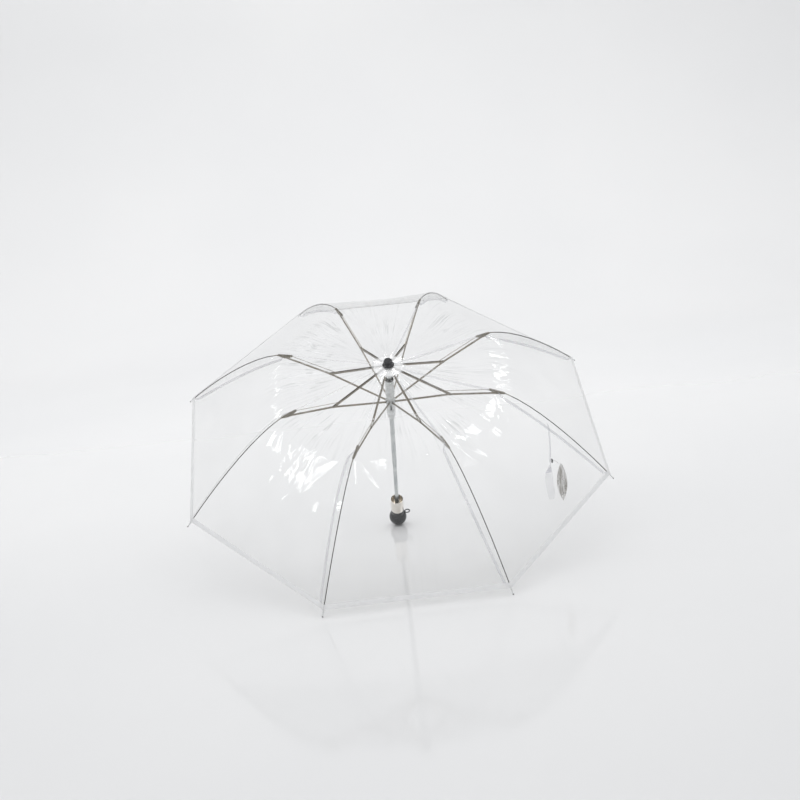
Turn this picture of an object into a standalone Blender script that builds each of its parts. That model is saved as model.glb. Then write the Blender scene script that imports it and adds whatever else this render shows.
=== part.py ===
"""Two-section folding umbrella with a clear film canopy, standing open on two rib tips and its handle ball.

Everything is drawn in the shaft's own frame: the origin is on the shaft's axis, level with the ring that the
top ribs hinge on, and +Z runs up the shaft to the cap. One empty tilts that frame into the standing pose.
"""
import math

import bmesh
import bpy
from mathutils import Matrix, Vector

# Ribs: eight of them, each drawn in a plane through the shaft, as (distance from the shaft, height)
RIBS = 8
FIRST_AZIMUTH = math.radians(-157.5)
RING_R = 0.0085                         # both hinge rings, at the crown and on the runner
TOP_LINK = Vector((0.1278, -0.0480))    # where a top rib meets its main rib
RUNNER_RING_Z = 2.0 * TOP_LINK.y        # so that the runner slides true as the ribs turn
KNEE = Vector((0.2235, -0.0222))
TIP = Vector((0.4700, -0.2097))
LINK_OFFSET = 0.016                     # from the top rib's pivot back to the link wire's
TIP_SLOPE = math.radians(49.5)          # the outer rib's fall at its tip
KNEE_RISE = math.radians(7.0)           # and its rise where it leaves the knuckle
KNEE_HANDLE = 0.072
TIP_HANDLE = 0.078

# Sections of the rib steel
CHEEK_GAP = 0.0025
CHEEK_WALL = 0.0005
RIB_PLATE = 0.0020
RIB_HALF_HEIGHT = 0.0013
TOP_RIB_HALF_HEIGHT = 0.0016
EYE_R = 0.0017
HOLE_R = 0.0008
PIN_R = 0.0005
LINK_R = 0.0006
WIRE_R = 0.0009

# Tip cap
CAP_BALL_R = 0.0015
CAP_LENGTH = 0.018
WIRE_STOPS_SHORT = 0.006

# Shaft, all heights below the crown ring
UPPER_R = 0.0048
UPPER_WALL = 0.0004
UPPER_TOP = 0.0040
UPPER_END = -0.2900
LOWER_R = 0.0041
LOWER_WALL = 0.0005
LOWER_TOP = -0.2250
LOWER_END = -0.4780
BUTTON_Z = -0.2820
BUTTON_R = 0.0014
RIVET_Z = -0.4250
RIVET_R = 0.0014
STOP_PIN_Z = -0.0280
CLEARANCE = 0.0003

# Crown and runner
NOTCH_R = 0.0105
NOTCH_CORE_R = 0.0063
SLOT_WIDTH = 0.0026
RING_WIRE_R = 0.00045
GROOVE_FLOOR_R = 0.0077
GROOVE_HALF = 0.0007
CROWN_TOP = 0.0045
CROWN_BOTTOM = -0.0048
BORE_R = 0.0051
RUNNER_BORE_R = 0.0051
CATCH_SLOT_TOP = -0.0990
CATCH_SLOT_END = -0.1222
CATCH_WIDTH = 0.0016
WINDOW_TOP = -0.0997
WINDOW_END = -0.1170

# Handle
CUP_R = 0.01425
CUP_WALL = 0.0010
CUP_TOP = -0.4090
CUP_END = -0.4450
BALL_R = 0.0198
BALL_Z = -0.4700
BALL_FLAT_R = 0.0080
LOOP_R = 0.0054
LOOP_WIRE_R = 0.0013
LOOP_RISE = math.radians(35.0)          # above the ball's equator
LOOP_REACH = BALL_R + LOOP_WIRE_R + LOOP_R + 0.0001

# Canopy film
FILM = 0.00015
FILM_LIFT = 0.0024                      # above the outer rib's centre line
FILM_CROWN = Vector((0.0070, 0.00505))
FILM_STOPS_SHORT = 0.0135               # of the tip, where the cap's socket takes the corner
FILM_SAG = 0.0060
PANEL_STRIPS = 4

# Closure strap and its label, hung from the seam on the right front rib
STRAP_RIB = 4
STRAP_AT = 0.46                         # along the outer rib
STRAP_DROP = 0.011                      # seam allowance below the rib
STRAP_WIDTH = 0.016
STRAP_LENGTH = 0.156
STRAP_THICK = 0.0006
STUD_DOWN = 0.076
STUD_R = 0.0045
LABEL_OUT = 0.021
LABEL_TOP = 0.082
LABEL_LENGTH = 0.080
LABEL_WIDTH = 0.021
LABEL_THICK = 0.0005

ROUND = 20                              # sides of the turned pieces
SMALL_ROUND = 8                         # sides of eyes, pins and caps


# ---------------------------------------------------------------- shapes

def evaluated(item):
    """The item as the viewport shows it, as a new mesh."""
    bpy.context.view_layer.update()
    graph = bpy.context.evaluated_depsgraph_get()
    return bpy.data.meshes.new_from_object(item.evaluated_get(graph))


def welded(mesh, distance=0.000002):
    form = bmesh.new()
    form.from_mesh(mesh)
    bmesh.ops.remove_doubles(form, verts=form.verts, dist=distance)
    bmesh.ops.recalc_face_normals(form, faces=form.faces)
    form.to_mesh(mesh)
    form.free()
    return mesh


def from_object(item):
    """Evaluates a helper object, then removes it."""
    bpy.context.scene.collection.objects.link(item)
    mesh = evaluated(item)
    bpy.data.objects.remove(item)
    return mesh


def turned(profile, steps=ROUND, closed=True):
    """A profile of (radius, height) points turned about Z, its outer side running from top to bottom."""
    outline = bpy.data.meshes.new("profile")
    points = [(radius, 0.0, height) for radius, height in profile]
    edges = [(n, n + 1) for n in range(len(points) - 1)]
    if closed:
        edges.append((len(points) - 1, 0))
    outline.from_pydata(points, edges, [])
    item = bpy.data.objects.new("turned", outline)
    screw = item.modifiers.new("Screw", "SCREW")
    screw.steps = steps
    screw.render_steps = steps
    screw.use_merge_vertices = True
    screw.merge_threshold = 0.00001
    return welded(from_object(item))


def plate(outline, thickness):
    """A flat outline in the XZ plane, with its thickness along Y."""
    curve = bpy.data.curves.new("outline", "CURVE")
    curve.dimensions = "2D"
    curve.fill_mode = "BOTH"
    curve.extrude = thickness / 2.0
    spline = curve.splines.new("POLY")
    spline.points.add(len(outline) - 1)
    for point, (across, up) in zip(spline.points, outline):
        point.co = (across, up, 0.0, 1.0)
    spline.use_cyclic_u = True
    mesh = from_object(bpy.data.objects.new("plate", curve))
    mesh.transform(Matrix.Rotation(math.pi / 2.0, 4, "X"))
    return welded(mesh)


def wire(points, radius, resolution=1):
    """A round wire with filled ends along a list of points."""
    curve = bpy.data.curves.new("wire", "CURVE")
    curve.dimensions = "3D"
    curve.bevel_depth = radius
    curve.bevel_resolution = resolution
    curve.use_fill_caps = True
    spline = curve.splines.new("POLY")
    spline.points.add(len(points) - 1)
    for point, place in zip(spline.points, points):
        point.co = (*place, 1.0)
    return welded(from_object(bpy.data.objects.new("wire", curve)))


def rod(start, end, radius, sides=SMALL_ROUND):
    """A straight cylinder between two points."""
    start, end = Vector(start), Vector(end)
    form = bmesh.new()
    bmesh.ops.create_cone(form, cap_ends=True, segments=sides, radius1=radius, radius2=radius,
                          depth=(end - start).length)
    turn = (end - start).to_track_quat("Z", "Y").to_matrix().to_4x4()
    form.transform(Matrix.Translation((start + end) / 2.0) @ turn)
    mesh = bpy.data.meshes.new("rod")
    form.to_mesh(mesh)
    form.free()
    return mesh


def block(low, high):
    """A box between two opposite corners."""
    low, high = Vector(low), Vector(high)
    form = bmesh.new()
    bmesh.ops.create_cube(form, size=1.0)
    form.transform(Matrix.Translation((low + high) / 2.0) @ Matrix.Diagonal((*(high - low), 1.0)))
    mesh = bpy.data.meshes.new("block")
    form.to_mesh(mesh)
    form.free()
    return mesh


def combined(base, others, operation):
    """The base mesh with every other mesh joined to it ("UNION") or cut from it ("DIFFERENCE")."""
    holder = bpy.data.objects.new("base", base)
    tools = []
    for other in others:
        tool = bpy.data.objects.new("tool", other)
        bpy.context.scene.collection.objects.link(tool)
        step = holder.modifiers.new("Boolean", "BOOLEAN")
        step.operation = operation
        step.object = tool
        tools.append(tool)
    mesh = from_object(holder)
    for tool in tools:
        bpy.data.objects.remove(tool)
    return mesh


def joined(base, *others):
    return combined(base, others, "UNION")


def cut(base, *others):
    return combined(base, others, "DIFFERENCE")


def ribbon(centres, half_widths, thickness):
    """A strip lofted through pairs of edge points, made solid."""
    form = bmesh.new()
    pairs = []
    for centre, half in zip(centres, half_widths):
        pairs.append((form.verts.new(centre - half), form.verts.new(centre + half)))
    for (left, right), (next_left, next_right) in zip(pairs, pairs[1:]):
        form.faces.new((left, right, next_right, next_left))
    mesh = bpy.data.meshes.new("ribbon")
    form.to_mesh(mesh)
    form.free()
    return solidified(mesh, thickness)


def solidified(mesh, thickness):
    item = bpy.data.objects.new("shell", mesh)
    shell = item.modifiers.new("Solidify", "SOLIDIFY")
    shell.thickness = thickness
    shell.offset = 0.0
    return from_object(item)


def disc_hull(discs, sides=SMALL_ROUND):
    """The outline of a band pulled tight round discs given as (across, up, radius), anticlockwise."""
    points = []
    for across, up, radius in discs:
        for n in range(sides):
            angle = 2.0 * math.pi * n / sides
            points.append((across + radius * math.cos(angle), up + radius * math.sin(angle)))
    points.sort()

    def half(ordered):
        chain = []
        for point in ordered:
            while len(chain) > 1 and turn(chain[-2], chain[-1], point) <= 1e-12:
                chain.pop()
            chain.append(point)
        return chain[:-1]

    def turn(a, b, c):
        return (b[0] - a[0]) * (c[1] - a[1]) - (b[1] - a[1]) * (c[0] - a[0])

    return half(points) + half(points[::-1])


def moved(mesh, across, up, angle=0.0):
    """A mesh turned by an angle in the rib's plane (positive raises +X), then moved."""
    mesh.transform(Matrix.Translation((across, 0.0, up)) @ Matrix.Rotation(-angle, 4, "Y"))
    return mesh


# ---------------------------------------------------------------- the rib's plane

TOP_RIB = TOP_LINK - Vector((RING_R, 0.0))
TOP_RIB_LENGTH = TOP_RIB.length
TOP_RIB_ANGLE = math.atan2(TOP_RIB.y, TOP_RIB.x)
LINK_INNER = TOP_LINK - LINK_OFFSET * TOP_RIB.normalized()
LINK_OUTER = KNEE - LINK_OFFSET * TOP_RIB.normalized()
RUNNER_RING = Vector((RING_R, RUNNER_RING_Z))


def outer_rib_point(share):
    """A point on the outer rib's centre line, and its direction, from the link pivot (0) to the tip (1)."""
    start = LINK_OUTER
    first = start + KNEE_HANDLE * Vector((math.cos(KNEE_RISE), math.sin(KNEE_RISE)))
    second = TIP - TIP_HANDLE * Vector((math.cos(TIP_SLOPE), -math.sin(TIP_SLOPE)))
    rest = 1.0 - share
    point = (rest ** 3 * start + 3 * rest ** 2 * share * first
             + 3 * rest * share ** 2 * second + share ** 3 * TIP)
    way = (rest ** 2 * (first - start) + 2 * rest * share * (second - first)
           + share ** 2 * (TIP - second))
    return point, way.normalized()


def share_short_of_tip(distance):
    """The share along the outer rib that is a given distance from the tip."""
    low, high = 0.5, 1.0
    for _ in range(40):
        middle = (low + high) / 2.0
        if (outer_rib_point(middle)[0] - TIP).length > distance:
            low = middle
        else:
            high = middle
    return low


def standing_tilt():
    """The lean at which the two front tips and the handle's ball touch the floor, and the crown ring's place.

    The tips' circle then lies with its middle over the origin.
    """
    back = TIP.x * math.cos(math.pi / RIBS)
    drop = TIP.y - BALL_Z
    lean = math.acos((CAP_BALL_R - BALL_R) / math.hypot(back, drop)) - math.atan2(back, drop)
    return lean, Vector((0.0, TIP.y * math.sin(lean), BALL_R - BALL_Z * math.cos(lean)))


# ---------------------------------------------------------------- pieces of one rib

def top_rib_mesh():
    """A channel open upwards, flattened to an eye at the crown and open right through at its two pins."""
    width = CHEEK_GAP + 2.0 * CHEEK_WALL
    half = TOP_RIB_HALF_HEIGHT
    body = plate(disc_hull([(0.009, 0.0, half), (TOP_RIB_LENGTH, 0.0, 0.002)]), width)
    eye_tab = plate(disc_hull([(0.0, 0.0, EYE_R), (0.011, 0.0, half - 0.0002)]), RIB_PLATE)
    fork_from = TOP_RIB_LENGTH - LINK_OFFSET - 0.005
    beyond = TOP_RIB_LENGTH + 0.01
    floor = -half + CHEEK_WALL
    hollow = [(0.012, floor), (fork_from, floor), (fork_from, -0.01),
              (beyond, -0.01), (beyond, 0.01), (0.012, 0.01)]
    pins = []
    for across in (TOP_RIB_LENGTH, TOP_RIB_LENGTH - LINK_OFFSET):
        pins.append(rod((across, -width / 2.0, 0.0), (across, width / 2.0, 0.0), PIN_R, 8))
    body = cut(body, plate(hollow, CHEEK_GAP))
    body = joined(body, eye_tab, *pins)
    return cut(body, rod((0.0, -0.01, 0.0), (0.0, 0.01, 0.0), HOLE_R))


def arm(start, end, start_r, end_r):
    """A flat bar with round ends between two pivots, and the groove rolled into its underside."""
    span = end - start
    bar = plate(disc_hull([(0.0, 0.0, start_r), (0.006, 0.0, RIB_HALF_HEIGHT),
                           (span.length - 0.006, 0.0, RIB_HALF_HEIGHT), (span.length, 0.0, end_r)]),
                RIB_PLATE)
    groove = block((0.008, -RIB_PLATE * 0.25, -0.01),
                   (span.length - 0.008, RIB_PLATE * 0.25, RIB_HALF_HEIGHT * 0.4))
    return moved(cut(bar, groove), start.x, start.y, math.atan2(span.y, span.x))


def main_rib_mesh():
    """From the runner through the top rib's fork to the knee, drawn about the fork's pin."""
    inner = RUNNER_RING - TOP_LINK
    outer = KNEE - TOP_LINK
    bar = joined(arm(inner, Vector((0.0, 0.0)), EYE_R, EYE_R), arm(Vector((0.0, 0.0)), outer, EYE_R, EYE_R))
    holes = [rod((p.x, -0.01, p.y), (p.x, 0.01, p.y), HOLE_R) for p in (inner, Vector((0.0, 0.0)), outer)]
    return cut(bar, *holes)


def link_wire_mesh():
    """The thin wire that turns the outer rib as the main rib swings, drawn about its inner eye."""
    span = LINK_OUTER - LINK_INNER
    eye = 0.0014
    width = 0.0016
    ends = [Vector((0.0, 0.0)), span]
    way = span.normalized() * 0.0008
    run = rod((way.x, 0.0, way.y), (span.x - way.x, 0.0, span.y - way.y), LINK_R, 6)
    eyes = [rod((p.x, -width / 2.0, p.y), (p.x, width / 2.0, p.y), eye) for p in ends]
    holes = [rod((p.x, -0.01, p.y), (p.x, 0.01, p.y), HOLE_R, 8) for p in ends]
    return cut(joined(run, *eyes), *holes)


def outer_rib_mesh():
    """A pressed knuckle over the knee, and the sprung wire that runs from it to the tip, drawn about the knee."""
    width = CHEEK_GAP + 2.0 * CHEEK_WALL
    link = LINK_OUTER - KNEE
    clamp_share = 0.125
    clamp = outer_rib_point(clamp_share)[0] - KNEE
    knuckle = plate(disc_hull([(link.x, link.y, 0.0019), (0.0, 0.0, 0.0021), (clamp.x, clamp.y, 0.0014)]), width)
    inside = [(link.x - 0.004, -0.01), (0.0055, -0.01), (0.0055, 0.0022),
              (link.x + 0.0035, link.y + 0.0002), (link.x + 0.0006, link.y + 0.0017),
              (link.x - 0.004, link.y + 0.0030)]
    knuckle = cut(knuckle, plate(inside, CHEEK_GAP))
    last = share_short_of_tip(WIRE_STOPS_SHORT)
    pieces = 11
    route = []
    for n in range(pieces + 1):
        share = 0.06 + (last - 0.06) * n / pieces
        point = outer_rib_point(share)[0] - KNEE
        route.append((point.x, 0.0, point.y))
    pins = []
    for place in (link, Vector((0.0, 0.0))):
        pins.append(rod((place.x, -width / 2.0, place.y), (place.x, width / 2.0, place.y), PIN_R, 8))
    return joined(knuckle, wire(route, WIRE_R), *pins)


def tip_cap_mesh():
    """A socket with a ball end, drawn along +X with the ball's centre at its origin."""
    bore = WIRE_R + CLEARANCE
    profile = [(0.0, CAP_BALL_R)]
    for degrees in (45, 90, 130):
        angle = math.radians(degrees)
        profile.append((CAP_BALL_R * math.sin(angle), CAP_BALL_R * math.cos(angle)))
    profile += [(0.00135, -0.006), (0.0016, -CAP_LENGTH), (bore, -CAP_LENGTH), (bore, -0.0048), (0.0, -0.0044)]
    mesh = turned(profile, 8, closed=False)
    mesh.transform(Matrix.Rotation(math.pi / 2.0, 4, "Y"))
    return mesh


# ---------------------------------------------------------------- canopy

def film_line():
    """The film's line over one rib, as (distance from the shaft, height), from the crown to the hem."""
    line = [FILM_CROWN, Vector((0.0125, 0.0046))]
    last = share_short_of_tip(FILM_STOPS_SHORT)
    steps = 9
    for n in range(steps + 1):
        point, way = outer_rib_point(last * n / steps)
        line.append(point + FILM_LIFT * Vector((-way.y, way.x)))
    return line


def film_grid():
    """Rows of points round the canopy, one row for each point of the film's line over a rib."""
    line = film_line()
    rows = []
    for n, (reach, height) in enumerate(line):
        slack = math.sin(math.pi * n / (len(line) - 1)) * FILM_SAG * min(1.0, reach / KNEE.x)
        row = []
        for rib in range(RIBS):
            here = FIRST_AZIMUTH + 2.0 * math.pi * rib / RIBS
            there = here + 2.0 * math.pi / RIBS
            start = Vector((reach * math.cos(here), reach * math.sin(here), height))
            end = Vector((reach * math.cos(there), reach * math.sin(there), height))
            inward = -(start + end)
            inward.z = 0.0
            inward = (inward.normalized() + Vector((0.0, 0.0, -1.5))).normalized()
            for strip in range(PANEL_STRIPS):
                share = strip / PANEL_STRIPS
                hollow = slack * 4.0 * share * (1.0 - share)
                row.append(start.lerp(end, share) + hollow * inward)
        rows.append(row)
    return rows


def canopy_mesh():
    """Eight flat-cut gores welded into one sheet, lofted from rib to rib."""
    form = bmesh.new()
    rows = [[form.verts.new(point) for point in row] for row in film_grid()]
    around = len(rows[0])
    for inner, outer in zip(rows, rows[1:]):
        for n in range(around):
            after = (n + 1) % around
            form.faces.new((inner[n], outer[n], outer[after], inner[after]))
    mesh = bpy.data.meshes.new("canopy")
    form.to_mesh(mesh)
    form.free()
    return solidified(mesh, FILM)


# ---------------------------------------------------------------- shaft, crown and runner

def tube_mesh(radius, wall, top, end):
    return turned([(radius, top), (radius, end), (radius - wall, end), (radius - wall, top)])


def radial_slots(low_z, high_z):
    """One blade for each rib, standing out from the hinge ring's core."""
    blades = []
    for rib in range(RIBS):
        blade = block((NOTCH_CORE_R, -SLOT_WIDTH / 2.0, low_z), (0.03, SLOT_WIDTH / 2.0, high_z))
        blade.transform(Matrix.Rotation(FIRST_AZIMUTH + 2.0 * math.pi * rib / RIBS, 4, "Z"))
        blades.append(blade)
    return blades


def ring_groove(height):
    top, low = height + GROOVE_HALF, height - GROOVE_HALF
    return turned([(0.03, top), (0.03, low), (GROOVE_FLOOR_R, low), (GROOVE_FLOOR_R, top)])


def ring_wire_mesh():
    """The wire that all eight rib eyes are threaded on."""
    section = []
    for n in range(6):
        angle = -2.0 * math.pi * n / 6
        section.append((RING_R + RING_WIRE_R * math.cos(angle), RING_WIRE_R * math.sin(angle)))
    return turned(section)


def crown_mesh():
    body = turned([(NOTCH_R - 0.001, CROWN_TOP), (NOTCH_R, CROWN_TOP - 0.001), (NOTCH_R, -0.0030),
                   (0.0080, CROWN_BOTTOM), (BORE_R, CROWN_BOTTOM), (BORE_R, CROWN_TOP)])
    return cut(body, ring_groove(0.0), *radial_slots(-0.02, 0.0026))


def runner_mesh():
    """Sleeve, hinge ring and skirt in one moulding, with slots for the ribs and a window for the catch."""
    profile = [(0.0081, 0.060), (0.0092, 0.044), (0.0097, 0.024), (0.0073, 0.0045), (0.0073, 0.0036),
               (0.0104, 0.0036), (0.0106, -0.0030), (0.0090, -0.0046), (0.0088, -0.020), (0.0092, -0.030),
               (0.0084, -0.040), (0.0066, -0.048), (RUNNER_BORE_R, -0.048), (RUNNER_BORE_R, 0.060)]
    body = turned([(radius, RUNNER_RING_Z + height) for radius, height in profile])
    window = block((-0.0021, -0.03, WINDOW_END), (0.0021, -0.003, WINDOW_TOP))
    slots = radial_slots(RUNNER_RING_Z - 0.0027, RUNNER_RING_Z + 0.0045)
    return cut(body, ring_groove(RUNNER_RING_Z), window, *slots)


def runner_ferrule_mesh():
    """The notched metal collar on top of the runner's sleeve."""
    top, end = RUNNER_RING_Z + 0.0640, RUNNER_RING_Z + 0.0603
    ring = turned([(0.0088, top), (0.0092, end), (0.0054, end), (0.0054, top)])
    notches = []
    for n in range(RIBS):
        tooth = block((0.0072, -0.0011, top - 0.0016), (0.012, 0.0011, top + 0.01))
        tooth.transform(Matrix.Rotation(2.0 * math.pi * n / RIBS, 4, "Z"))
        notches.append(tooth)
    return cut(ring, *notches)


def top_cap_mesh():
    """A flared skirt under a domed button, with the stem that plugs the tube."""
    profile = [(0.0, 0.0168), (0.0045, 0.0165), (0.0074, 0.0153), (0.0087, 0.0132), (0.0090, 0.0102),
               (0.0096, 0.0086), (0.0117, 0.0074), (0.0119, 0.0060), (0.0112, 0.0056), (0.0040, 0.0056),
               (0.0040, -0.0060), (0.0, -0.0060)]
    return turned(profile, closed=False)


def upper_tube_mesh():
    tube = tube_mesh(UPPER_R, UPPER_WALL, UPPER_TOP, UPPER_END)
    catch_slot = block((-0.0012, -0.01, CATCH_SLOT_END), (0.0012, -0.002, CATCH_SLOT_TOP))
    stop_hole = rod((-0.01, 0.0, STOP_PIN_Z), (0.01, 0.0, STOP_PIN_Z), 0.0013)
    button_hole = rod((0.0, 0.002, BUTTON_Z), (0.0, 0.01, BUTTON_Z), BUTTON_R + CLEARANCE)
    return cut(tube, catch_slot, stop_hole, button_hole)


def lower_tube_mesh():
    tube = tube_mesh(LOWER_R, LOWER_WALL, LOWER_TOP, LOWER_END)
    button_hole = rod((0.0, 0.002, BUTTON_Z), (0.0, 0.01, BUTTON_Z), BUTTON_R + CLEARANCE)
    rivet_hole = rod((0.0, -0.01, RIVET_Z), (0.0, 0.01, RIVET_Z), RIVET_R + CLEARANCE)
    return cut(tube, button_hole, rivet_hole)


def catch_mesh():
    """The sprung catch: a flat step holds the runner up, and a slope lets it ride over. Drawn about its foot."""
    outline = [(-0.0006, 0.0), (0.0026, -0.0006), (0.0056, 0.0160), (0.0062, 0.0205), (0.0058, 0.0217),
               (0.0004, 0.0217), (-0.0012, 0.0190)]
    mesh = plate(outline, CATCH_WIDTH)
    mesh.transform(Matrix.Rotation(-math.pi / 2.0, 4, "Z"))
    return mesh


def button_mesh():
    """The detent: a nub on a short leaf, pressed in as the lower tube slides up."""
    nub = turned([(0.0, 0.0049), (0.0008, 0.00485), (BUTTON_R, 0.0045), (BUTTON_R, 0.0024), (0.0, 0.0024)],
                 SMALL_ROUND, closed=False)
    nub.transform(Matrix.Rotation(-math.pi / 2.0, 4, "X"))
    leaf = block((-0.0013, 0.0019, -0.016), (0.0013, 0.0026, 0.004))
    return joined(nub, leaf)


# ---------------------------------------------------------------- handle

def cup_mesh():
    inner = CUP_R - CUP_WALL
    floor = CUP_END + 0.0015
    bore = LOWER_R + CLEARANCE
    return turned([(CUP_R - 0.0002, CUP_TOP), (CUP_R, CUP_TOP - 0.0006), (CUP_R, CUP_END + 0.001),
                   (CUP_R - 0.001, CUP_END), (bore, CUP_END), (bore, floor), (inner, floor),
                   (inner, CUP_TOP)])


def ball_mesh():
    """A ball with a short collar for the cup, a bore for the tube and a small flat under it."""
    profile = [(0.0128, CUP_END - 0.0004), (0.0143, CUP_END - 0.0018), (0.0143, -0.4530)]
    first = math.acos((-0.4560 - BALL_Z) / BALL_R)
    last = math.pi - math.asin(BALL_FLAT_R / BALL_R)
    arc = 7
    for n in range(arc + 1):
        angle = first + (last - first) * n / arc
        profile.append((BALL_R * math.sin(angle), BALL_Z + BALL_R * math.cos(angle)))
    bore = LOWER_R + CLEARANCE
    profile += [(0.0, profile[-1][1]), (0.0, LOWER_END - 0.0006), (bore, LOWER_END - 0.0006),
                (bore, CUP_END - 0.0004)]
    return turned(profile)


def lanyard_loop_mesh():
    """The small eye for a wrist cord, drawn about its own centre with its hole along Y."""
    section = []
    for n in range(SMALL_ROUND):
        angle = -2.0 * math.pi * n / SMALL_ROUND
        section.append((LOOP_R + LOOP_WIRE_R * math.cos(angle), LOOP_WIRE_R * math.sin(angle)))
    mesh = turned(section, 16)
    mesh.transform(Matrix.Rotation(math.pi / 2.0, 4, "X"))
    return mesh


# ---------------------------------------------------------------- strap and label

def strap_frames():
    """Centres and half-width vectors down the strap: edge-on above the stud, face-on below it."""
    centres, halves = [], []
    steps = 14
    for n in range(steps + 1):
        down = STRAP_LENGTH * n / steps
        turn = max(0.0, min(1.0, (down - STUD_DOWN - 0.004) / 0.026))
        angle = math.pi / 2.0 * (1.0 - turn)
        narrow = 1.0 if n < steps else 0.55
        half = STRAP_WIDTH / 2.0 * narrow
        sway = 0.0015 * math.sin(2.4 * math.pi * down / STRAP_LENGTH)
        centres.append(Vector((sway - 0.004 * turn, 0.0, -down)))
        halves.append(half * Vector((math.cos(angle), math.sin(angle), 0.0)))
    return centres, halves


def strap_mesh():
    centres, halves = strap_frames()
    return ribbon(centres, halves, STRAP_THICK)


def stud_mesh():
    """The press stud's cap, standing off the strap's face."""
    gap = STRAP_THICK / 2.0 + CLEARANCE
    mesh = turned([(0.0, gap + 0.0030), (0.0030, gap + 0.0028), (STUD_R, gap + 0.0016), (STUD_R, gap),
                   (0.0, gap)], 12, closed=False)
    mesh.transform(Matrix.Translation((0.0015, 0.0, -STUD_DOWN)) @ Matrix.Rotation(math.pi / 2.0, 4, "Y"))
    return mesh


def label_mesh():
    """A leaf-shaped label on a short thread."""
    outline = []
    steps = 9
    for side in (1.0, -1.0):
        for n in range(steps):
            share = n / steps if side > 0 else 1.0 - n / steps
            bulge = side * LABEL_WIDTH / 2.0 * math.sin(math.pi * share) ** 0.8
            outline.append((LABEL_OUT + bulge, -LABEL_TOP - LABEL_LENGTH * share))
    leaf = plate(outline, LABEL_THICK)
    thread = rod((0.0066, 0.0, -STUD_DOWN + 0.0010), (LABEL_OUT, 0.0, -LABEL_TOP - 0.004), 0.0004, 6)
    return joined(leaf, thread)


# ---------------------------------------------------------------- assembly

COLOURS = {
    "steel_rib": ((0.42, 0.39, 0.35), 0.35, 1.0),
    "knuckle_steel": ((0.30, 0.26, 0.22), 0.40, 1.0),
    "shaft_steel": ((0.66, 0.68, 0.69), 0.32, 1.0),
    "nickel": ((0.80, 0.76, 0.68), 0.15, 1.0),
    "black_plastic": ((0.012, 0.012, 0.014), 0.30, 0.0),
    "clear_moulding": ((0.80, 0.80, 0.79), 0.30, 0.0),
    "film": ((0.93, 0.94, 0.96), 0.08, 0.0),
    "silver_label": ((0.55, 0.54, 0.52), 0.40, 0.3),
}


def make_materials():
    made = {}
    for name, (colour, roughness, metallic) in COLOURS.items():
        finish = bpy.data.materials.new(name)
        finish.use_nodes = True
        shader = finish.node_tree.nodes["Principled BSDF"]
        shader.inputs["Base Color"].default_value = (*colour, 1.0)
        shader.inputs["Roughness"].default_value = roughness
        shader.inputs["Metallic"].default_value = metallic
        made[name] = finish
    return made


class Bench:
    """Puts named pieces into the umbrella's collection."""

    def __init__(self):
        self.collection = bpy.data.collections.new("folding_umbrella")
        bpy.context.scene.collection.children.link(self.collection)
        self.finishes = make_materials()

    def pivot(self, name, parent, location=(0.0, 0.0, 0.0), rotation=(0.0, 0.0, 0.0)):
        empty = bpy.data.objects.new(name, None)
        empty.empty_display_size = 0.01
        empty.parent = parent
        empty.location = location
        empty.rotation_euler = rotation
        self.collection.objects.link(empty)
        return empty

    def piece(self, name, mesh, finish, parent, location=(0.0, 0.0, 0.0), rotation=(0.0, 0.0, 0.0)):
        mesh.materials.clear()
        mesh.materials.append(self.finishes[finish])
        mesh.shade_smooth()
        mesh.set_sharp_from_angle(angle=math.radians(35.0))
        item = bpy.data.objects.new(name, mesh)
        item.parent = parent
        item.location = location
        item.rotation_euler = rotation
        self.collection.objects.link(item)
        return item


def in_plane(point):
    return (point.x, 0.0, point.y)


def build_ribs(bench, axis):
    """Eight equal rib assemblies, each under a pivot that faces along its own azimuth."""
    top_rib, main_rib = top_rib_mesh(), main_rib_mesh()
    link_wire, outer_rib, tip_cap = link_wire_mesh(), outer_rib_mesh(), tip_cap_mesh()
    knees = []
    for n in range(RIBS):
        number = n + 1
        plane = bench.pivot(f"rib_plane_{number}", axis, rotation=(0.0, 0.0, FIRST_AZIMUTH + n * math.tau / RIBS))
        bench.piece(f"crown_rib_{number}", top_rib, "steel_rib", plane, (RING_R, 0.0, 0.0),
                    (0.0, -TOP_RIB_ANGLE, 0.0))
        bench.piece(f"main_rib_{number}", main_rib, "steel_rib", plane, in_plane(TOP_LINK))
        bench.piece(f"link_wire_{number}", link_wire, "steel_rib", plane, in_plane(LINK_INNER))
        knee = bench.pivot(f"knee_{number}", plane, in_plane(KNEE))
        bench.piece(f"outer_rib_{number}", outer_rib, "knuckle_steel", knee)
        bench.piece(f"tip_cap_{number}", tip_cap, "clear_moulding", knee, in_plane(TIP - KNEE),
                    (0.0, TIP_SLOPE, 0.0))
        knees.append(knee)
    return knees


def build_shaft(bench, axis):
    bench.piece("upper_tube", upper_tube_mesh(), "shaft_steel", axis)
    bench.piece("crown_notch", crown_mesh(), "clear_moulding", axis)
    bench.piece("crown_wire", ring_wire_mesh(), "steel_rib", axis)
    bench.piece("top_cap", top_cap_mesh(), "black_plastic", axis)
    pin = rod((-0.0065, 0.0, 0.0), (0.0065, 0.0, 0.0), 0.0010)
    bench.piece("runner_stop_pin", pin, "shaft_steel", axis, (0.0, 0.0, STOP_PIN_Z))
    bench.piece("open_catch", catch_mesh(), "shaft_steel", axis, (0.0, -0.0008, CATCH_SLOT_END + 0.0002))
    bench.piece("canopy", canopy_mesh(), "film", axis)


def build_runner(bench, axis):
    bench.piece("runner", runner_mesh(), "clear_moulding", axis)
    bench.piece("runner_wire", ring_wire_mesh(), "steel_rib", axis, (0.0, 0.0, RUNNER_RING_Z))
    bench.piece("runner_ferrule", runner_ferrule_mesh(), "shaft_steel", axis)


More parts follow.
